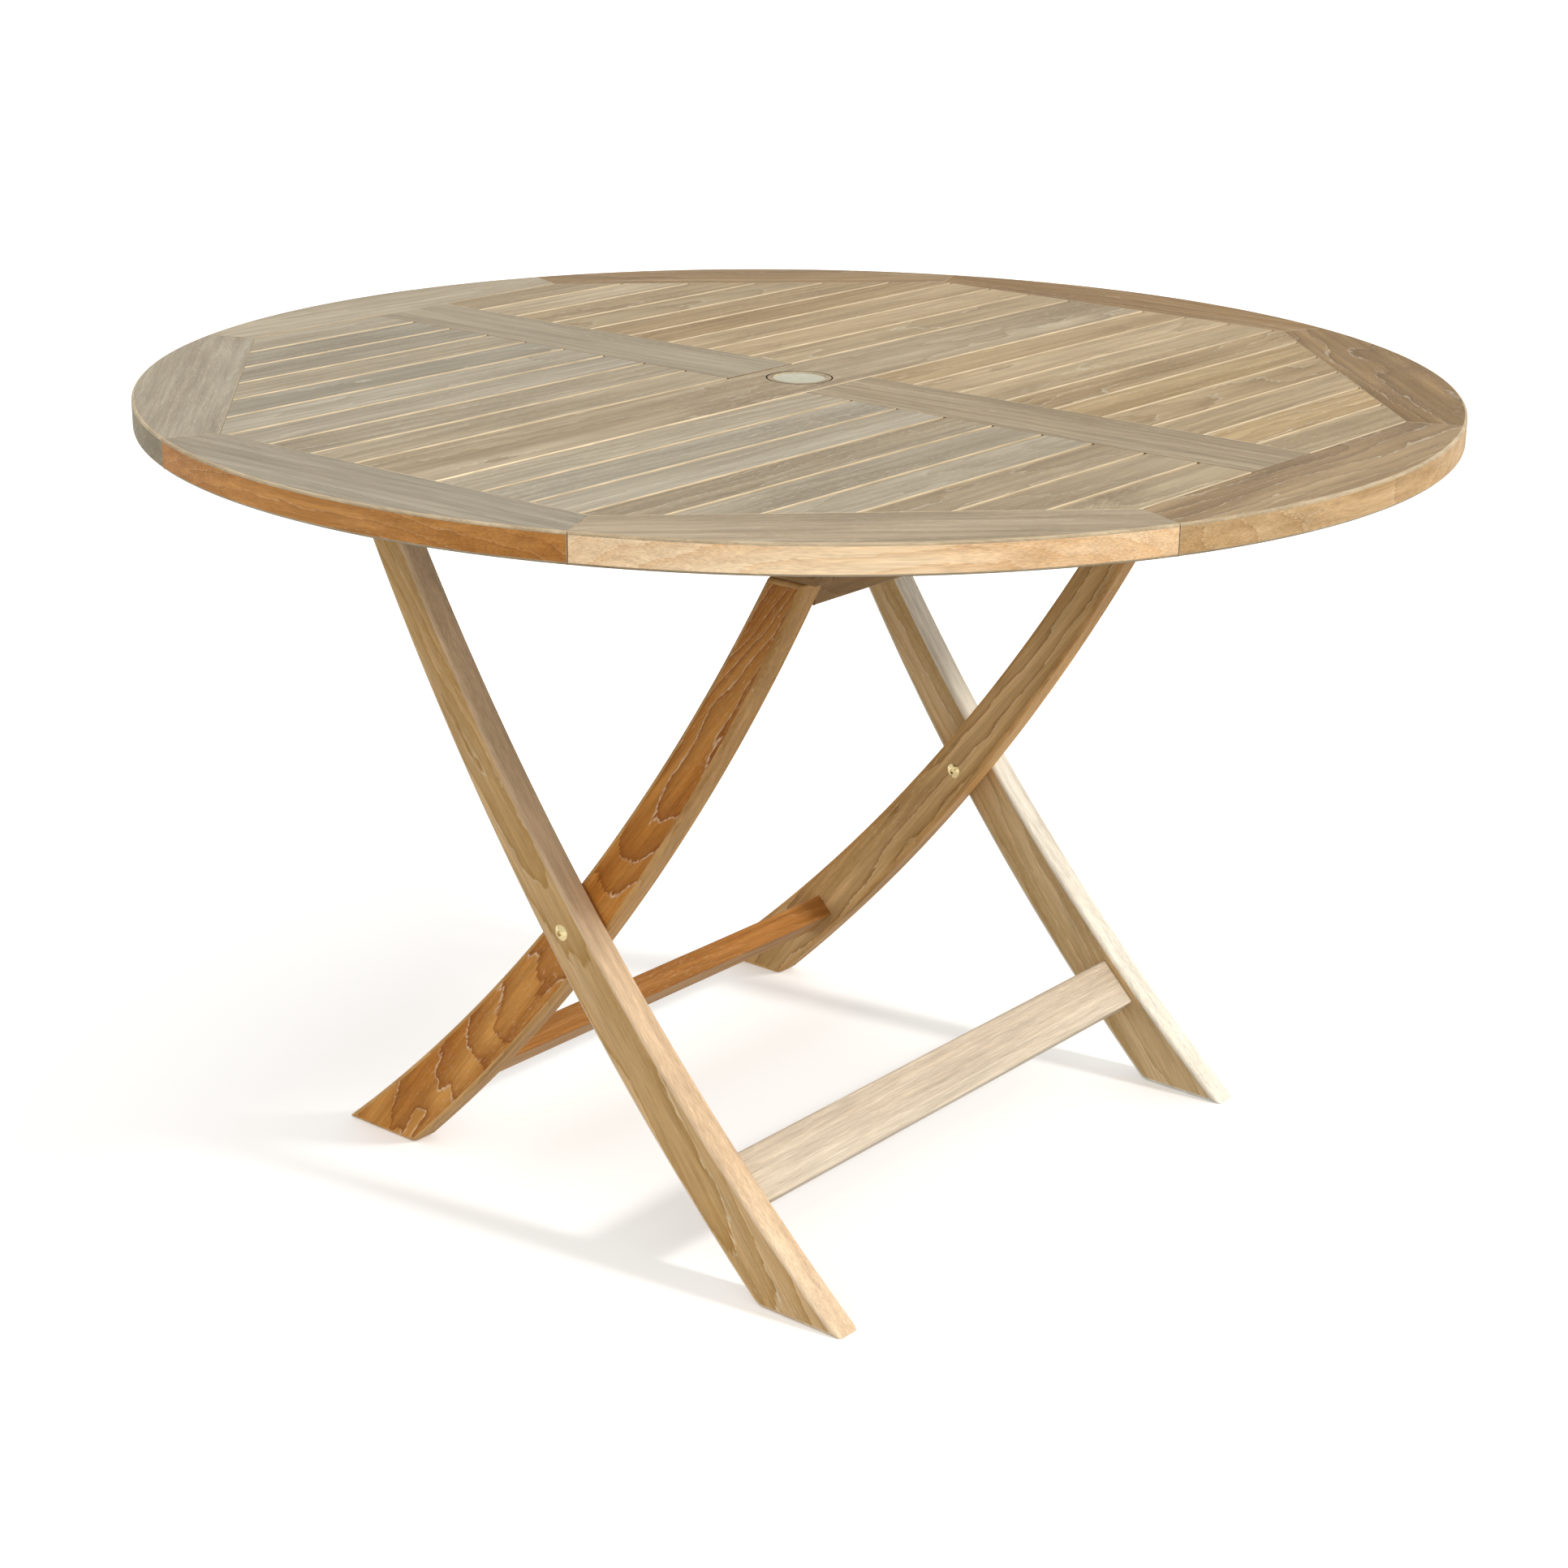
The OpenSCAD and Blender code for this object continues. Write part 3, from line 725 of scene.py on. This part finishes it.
def make_rail(name, node, half, width, thick, y_axis, at, finish, arris):
    """A straight rail along X, 2 * half long, with its width along y_axis."""
    outline = [(-half, -width / 2), (half, -width / 2), (half, width / 2), (-half, width / 2)]

    def rounding(a, b):
        return RAIL_END_ARRIS if abs(a[0] - b[0]) < MM else arris

    plank(name, [node], outline, thick, placed(X_AXIS, y_axis, at), finish, rounding,
          RAIL_END_ARRIS, 4)


def tones(light, mid, dark, pale):
    return {"light": light, "mid": mid, "dark": dark, "pale": pale}


OUTER_TAN = tones((0.76, 0.52, 0.275), (0.62, 0.39, 0.16), (0.46, 0.25, 0.065), (0.92, 0.77, 0.54))
OUTER_PINK = tones((0.82, 0.63, 0.43), (0.75, 0.53, 0.33), (0.58, 0.40, 0.23), (0.90, 0.76, 0.58))
RIGHT_TAN = tones((0.78, 0.57, 0.32), (0.67, 0.45, 0.21), (0.44, 0.26, 0.085), (0.90, 0.76, 0.54))
RIGHT_PALE = tones((0.90, 0.84, 0.72), (0.80, 0.72, 0.58), (0.62, 0.48, 0.31), (0.94, 0.89, 0.79))
INNER_RED = tones((0.68, 0.33, 0.085), (0.53, 0.195, 0.028), (0.29, 0.082, 0.008),
                  (0.90, 0.70, 0.50))
INNER_EDGE = tones((0.68, 0.40, 0.16), (0.54, 0.285, 0.085), (0.32, 0.14, 0.034),
                   (0.80, 0.58, 0.34))
STREAKED = tones((0.74, 0.49, 0.23), (0.58, 0.34, 0.12), (0.31, 0.14, 0.032), (0.84, 0.66, 0.44))
CREAM = tones((0.75, 0.65, 0.51), (0.67, 0.555, 0.42), (0.54, 0.41, 0.28), (0.84, 0.76, 0.62))
ORANGE = tones((0.56, 0.27, 0.085), (0.45, 0.18, 0.036), (0.31, 0.11, 0.018), (0.80, 0.54, 0.28))
RUST = tones((0.60, 0.34, 0.13), (0.47, 0.23, 0.07), (0.30, 0.125, 0.03), (0.72, 0.50, 0.28))
BROWN = tones((0.42, 0.26, 0.12), (0.33, 0.19, 0.08), (0.20, 0.10, 0.035), (0.55, 0.40, 0.24))


def make_outer_frame():
    left = teak("leg_left_face", **OUTER_TAN, seed=31, pith=(0, 0.004, -0.035),
                tilt=(0, 0.01, 0.075), ring=14 * MM, figure=0.8, contour=0.9, fleck=0.5)
    left_edge = teak("leg_left_edge", **OUTER_PINK, seed=32, figure=0.2, contour=0.1, fleck=0.35)
    right = teak("leg_right_face", **RIGHT_TAN, seed=33, pith=(0, 0.05, -0.03),
                 tilt=(0, 0.03, 0.03), ring=15 * MM, figure=0.5, contour=0.4, fleck=0.6)
    right_edge = teak("leg_right_edge", **RIGHT_PALE, seed=34, figure=0.15, contour=0.1,
                      fleck=0.35)
    make_leg("leg_outer_left", "outer_leg_left", 1, (left, left_edge, left_edge))
    make_leg("leg_outer_right", "outer_leg_right", 1, (right, right_edge, right_edge))
    along, _ = frame_axes(1, heading(STRETCHER_AT))
    y, z = leg_point(STRETCHER_AT, OUTER_STRETCHER_N)
    cream = teak("stretcher_cream", **CREAM, seed=35, pith=(0, 0.07, -0.05), figure=0.25,
                 contour=0.15, fleck=0.5)
    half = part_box("outer_leg_right")[0].x - SLIP
    make_rail("stretcher_outer", "outer_stretcher", half, OUTER_STRETCHER_W, OUTER_STRETCHER_T,
              along, (0, CROSS_Y + y, z), (cream, cream, cream), RAIL_ARRIS)


def make_inner_frame():
    left = teak("leg_inner_left_face", **INNER_RED, seed=41, pith=(0, 0.0, -0.035),
                tilt=(0, -0.015, 0.12), ring=9 * MM, figure=0.8, contour=0.95, fleck=0.6)
    edge = teak("leg_inner_edge", **INNER_EDGE, seed=42, figure=0.35, contour=0.2, fleck=0.5)
    right = teak("leg_inner_right_face", **STREAKED, seed=43, pith=(0, 0.03, 0.03),
                 tilt=(0, 0.05, -0.06), ring=13 * MM, figure=0.7, contour=0.5, fleck=0.7)
    make_leg("leg_inner_left", "inner_leg_left", -1, (left, edge, edge))
    make_leg("leg_inner_right", "inner_leg_right", -1, (right, edge, edge))
    along, _ = frame_axes(-1, heading(STRETCHER_AT))
    y, z = leg_point(STRETCHER_AT, INNER_STRETCHER_N)
    orange = teak("stretcher_orange", **ORANGE, seed=44, figure=0.4, contour=0.2, fleck=0.4)
    rust = teak("stretcher_rust", **RUST, seed=46, figure=0.4, contour=0.2, fleck=0.4)
    brown = teak("rail_brown", **BROWN, seed=45, figure=0.4, contour=0.2, fleck=0.4)
    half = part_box("inner_leg_right")[0].x - SLIP
    make_rail("stretcher_inner", "inner_stretcher", half, INNER_STRETCHER_W, INNER_STRETCHER_T,
              along, (0, CROSS_Y - y, z), (rust, orange, orange), 3 * MM)

    # the top rail: its upper part is shorter, to stand between the battens
    low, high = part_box("inner_top_rail")
    shoulder_z, upper_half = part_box("batten_left")[0].z - RAIL_DROP, half - RAIL_STEP
    middle = (low.z + high.z) / 2
    outline = [(-half, low.z), (half, low.z), (half, shoulder_z), (upper_half, shoulder_z),
               (upper_half, high.z), (-upper_half, high.z), (-upper_half, shoulder_z),
               (-half, shoulder_z)]

    def rounding(a, b):
        return RAIL_ARRIS if abs(a[0] - b[0]) > LONG_SIDE else RAIL_END_ARRIS

    plank("rail_top", ["inner_top_rail"], [(x, z - middle) for x, z in outline], high.y - low.y,
          placed(X_AXIS, Z_AXIS, (0, (low.y + high.y) / 2, middle)),
          (brown, brown, brown), rounding, RAIL_END_ARRIS, 3)


def make_under_top():
    wood = teak("batten_wood", **BROWN, seed=51, figure=0.5, contour=0.3, fleck=0.4)
    finish = (wood, wood, wood)
    pitch = (OCTAGON + GAP - CROSS_HALF) / ROWS
    rows = [0] + [s * (CROSS_HALF + (i - 0.5) * pitch) for i in range(1, SCREW_ROWS + 1)
                  for s in (-1, 1)]
    for side, end in ((-1, "left"), (1, "right")):
        low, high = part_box(f"batten_{end}")
        middle = (low.z + high.z) / 2
        x = (low.x + high.x) / 2
        outline = [(low.y, low.z), (BATTEN_BEVEL_Y, low.z), (high.y, low.z + BATTEN_BEVEL_H),
                   (high.y, high.z), (low.y, high.z)]
        batten = plank(f"batten_beam_{end}", [f"batten_{end}"],
                       [(y, z - middle) for y, z in outline], high.x - low.x,
                       placed(Y_AXIS, Z_AXIS, (x, 0, middle)), finish, 3 * MM, 1.5 * MM, 3)
        drill(batten, [(x, y, SCREW_HOLE_R, low.z - SCREW_HOLE_BELOW, low.z + SCREW_HOLE_ABOVE)
                       for y in rows], 32)
        block_low, block_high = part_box("catch_blocks")
        inner = high.x if side < 0 else low.x
        centre = (block_low + block_high) / 2
        make_rail(f"catch_block_{end}", "catch_blocks", CATCH_HALF, block_high.y - block_low.y,
                  block_high.z - block_low.z, Y_AXIS,
                  (inner - side * CATCH_HALF, centre.y, centre.z), finish, 2 * MM)
    keep(wood, "rim_splines")


def keep(paint, *nodes):
    """These CAD nodes stay, with a better material."""
    for node in nodes:
        mesh = frame["nodes"][node].data
        mesh.materials.clear()
        mesh.materials.append(paint)


def make_brass():
    cap_brass = brass("brass_cap_metal", (0.47, 0.45, 0.30), 0.22, 0.10)
    fitting = brass("brass_fitting_metal", (0.80, 0.66, 0.36), 0.20, 0.35)
    low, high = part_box("parasol_ring")
    outer, seat = high.x, high.x - FLANGE_LIP
    bore = outer - FLANGE_IN
    wall = bore + SLEEVE_WALL
    soft = 1.2 * MM
    top, under = high.z, high.z - FLANGE_T
    profile = [(bore, low.z), (wall, low.z), (wall, under), (outer, under)]
    profile += arc(outer - soft, top - soft, soft, 0, 90)
    profile += [(seat, top), (seat, top - LID_SEAT), (bore, top - LID_SEAT)]
    lathe("brass_ring", "parasol_ring", [(r, z - low.z) for r, z in profile],
          (0, 0, low.z), fitting)

    low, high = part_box("parasol_cap")
    rim = high.x
    soft = 1.1 * MM
    crown = 0.6 * MM
    shoulder = high.z - crown
    profile = [(0, low.z), (rim, low.z)] + arc(rim - soft, shoulder - soft, soft, 0, 80)
    reach = rim - soft
    profile += [(reach * k / 8, high.z - crown * (k / 8) ** 2) for k in range(7, -1, -1)]
    lathe("brass_cap", "parasol_cap", [(r, z - low.z) for r, z in profile],
          (0, 0, low.z), cap_brass)
    keep(fitting, "hinge_bolts", "hinge_nuts", "hinge_washers", "pivot_bolts", "pivot_nuts",
         "pivot_washers", "batten_screws")


make_camera()
make_light()
make_floor()
cut_wood = teak("cut_arris", (0.88, 0.74, 0.53), (0.68, 0.55, 0.37), (0.40, 0.31, 0.19), seed=3,
                figure=0.3, contour=0.1, fleck=0.2)
seam_wood = teak("seam_arris", (0.30, 0.20, 0.11), (0.22, 0.14, 0.07), (0.12, 0.07, 0.03), seed=6,
                 figure=0.3, contour=0.1, fleck=0.2)
rim_wood = teak("rim_arris", (0.58, 0.47, 0.32), (0.46, 0.36, 0.23), (0.33, 0.24, 0.14), seed=4,
                figure=0.3, contour=0.1, fleck=0.3)
make_slats(cut_wood)
make_boards(cut_wood, seam_wood)
make_rim(rim_wood)
make_outer_frame()
make_inner_frame()
make_under_top()
make_brass()
